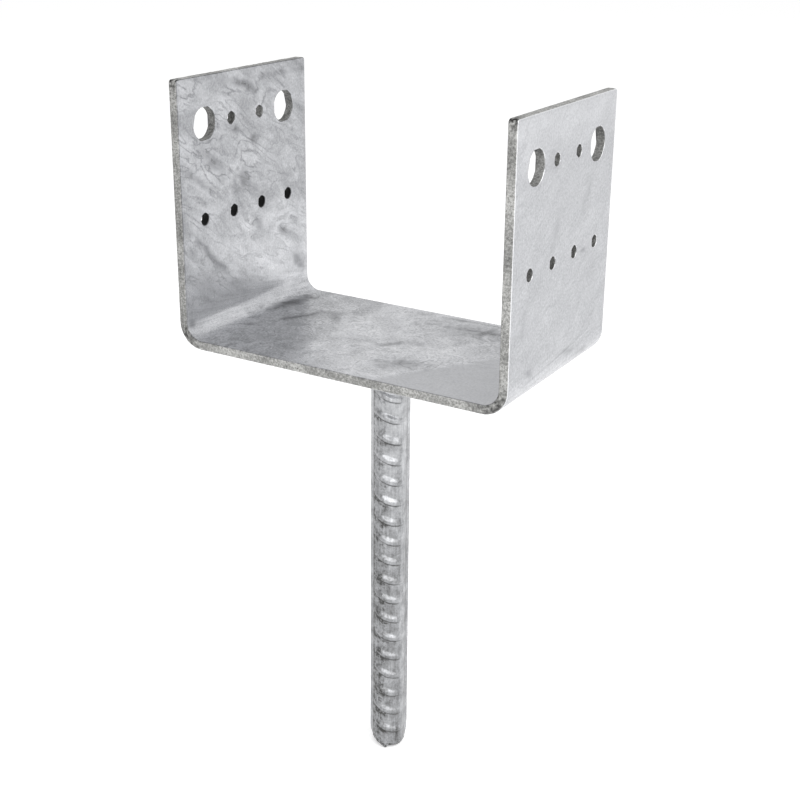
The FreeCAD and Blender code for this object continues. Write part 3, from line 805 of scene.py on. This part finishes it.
# Two more rows close the bead inside the bar, where they don't show.
weld_radius = np.column_stack([weld_radius, np.full((WELD_AROUND, 2), inner_radius)])
weld_z = np.column_stack([weld_z, np.tile([weld_top - weld_leg, weld_top], (WELD_AROUND, 1))])
weld_rows = WELD_FACE + 2
weld_points = np.stack([
    weld_radius * np.cos(round_it), weld_radius * np.sin(round_it), weld_z],
    axis=-1).reshape(-1, 3)
weld_faces = [
    (n * weld_rows + row, n * weld_rows + (row + 1) % weld_rows,
     (n + 1) % WELD_AROUND * weld_rows + (row + 1) % weld_rows,
     (n + 1) % WELD_AROUND * weld_rows + row)
    for n in range(WELD_AROUND) for row in range(weld_rows)
]
weld = mesh_piece("galvanised_weld_bead", weld_points, weld_faces, {})


def galvanised_weld():
    """Hot-dip zinc on weld metal. It gives the eye a darker, rougher, mottled grey than the
    strip, because the silicon in the weld makes the alloy layer grow thick."""
    made, tree = material("galvanised_weld_metal")
    place = node(tree, "ShaderNodeTexCoord").outputs["Object"]
    mottle = node(tree, "ShaderNodeTexNoise", {
        "Vector": place, "Scale": 1 / (2.2 * MM), "Detail": 4, "Roughness": 0.6}).outputs["Fac"]
    surface = node(tree, "ShaderNodeValToRGB", {"Fac": mottle}, stops=[
        (0.3, "#6B6C6B"), (0.5, "#9B9D9E"), (0.7, "#BABCBE")]).outputs[0]
    bump = node(tree, "ShaderNodeBump", {
        "Height": mottle, "Strength": 0.6, "Distance": 0.15 * MM}).outputs[0]
    shader = node(tree, "ShaderNodeBsdfPrincipled", {
        "Base Color": surface, "Metallic": 0.9, "Roughness": 0.5, "Normal": bump})
    node(tree, "ShaderNodeOutputMaterial", {"Surface": shader.outputs[0]})
    return made


weld.data.materials.append(galvanised_weld())
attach(weld, "root")
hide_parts("weld_bead")

# ------------------------------------------------------------------ studio
# A white floor and a white world round the part. A small key softbox lights it from the
# right, and a wide one across the front draws the shine on the ribs' upper flanks.

floor_half = 6.0
floor_mesh = bpy.data.meshes.new("white_floor")
floor_mesh.from_pydata(
    [(x * floor_half, y * floor_half, bar_low.z) for x, y in ((-1, -1), (1, -1), (1, 1), (-1, 1))],
    [], [(0, 1, 2, 3)])
floor = bpy.data.objects.new("white_floor", floor_mesh)
bpy.context.scene.collection.objects.link(floor)


def seen_directly(tree):
    """1 for rays from the camera, a mirror or a clear surface, 0 for light that spreads."""
    path = node(tree, "ShaderNodeLightPath")
    plain = node(tree, "ShaderNodeMath", {
        0: path.outputs["Is Camera Ray"], 1: path.outputs["Is Glossy Ray"]}, operation="MAXIMUM")
    return node(tree, "ShaderNodeMath", {
        0: plain.outputs[0], 1: path.outputs["Is Transmission Ray"]},
        operation="MAXIMUM").outputs[0]


def white_floor():
    """Matt white paper. It takes the part's soft shadow, and a faint glow of its own lets
    it run out to plain white where the camera and the metal see it."""
    made, tree = material("white_paper_sweep")
    paper = node(tree, "ShaderNodeBsdfDiffuse", {"Color": colour("#F4F4F4")}).outputs[0]
    glow = node(tree, "ShaderNodeEmission", {"Color": colour("#FFFFFF"), "Strength": 0.3})
    lit = node(tree, "ShaderNodeAddShader", {0: paper, 1: glow.outputs[0]}).outputs[0]
    shown = node(tree, "ShaderNodeMixShader", {0: seen_directly(tree), 1: paper, 2: lit})
    node(tree, "ShaderNodeOutputMaterial", {"Surface": shown.outputs[0]})
    return made


floor_mesh.materials.append(white_floor())

# Light that spreads sees a slightly weaker world than the camera and the metal do.
world = bpy.data.worlds.new("white_studio")
bpy.context.scene.world = world
world.use_nodes = True
world.node_tree.nodes.clear()
strength = node(world.node_tree, "ShaderNodeMapRange", {
    "Value": seen_directly(world.node_tree), "To Min": 0.75, "To Max": 1.0}).outputs[0]
sky = node(world.node_tree, "ShaderNodeBackground", {
    "Color": colour("#FFFFFF"), "Strength": strength})
node(world.node_tree, "ShaderNodeOutputWorld", {"Surface": sky.outputs[0]})


def softbox(name, turn, rise, away, width, tall, power):
    """A lamp that faces the seat: its direction and its height as angles in degrees, its
    distance and size in metres and its power in watts."""
    lamp = bpy.data.objects.new(name, bpy.data.lights.new(name, "AREA"))
    lamp.data.shape = "RECTANGLE"
    lamp.data.size = width
    lamp.data.size_y = tall
    lamp.data.energy = power
    turn, rise = math.radians(turn), math.radians(rise)
    ray = Vector((math.cos(rise) * math.cos(turn), math.cos(rise) * math.sin(turn), math.sin(rise)))
    lamp.location = away * ray
    lamp.rotation_euler = ray.to_track_quat("Z", "Y").to_euler()
    bpy.context.scene.collection.objects.link(lamp)


softbox("key_softbox", turn=-15, rise=38, away=1.45, width=0.7, tall=0.7, power=3)
softbox("front_softbox", turn=-38, rise=32, away=1.5, width=3.2, tall=1.4, power=30)

bpy.context.scene.view_settings.view_transform = "Standard"
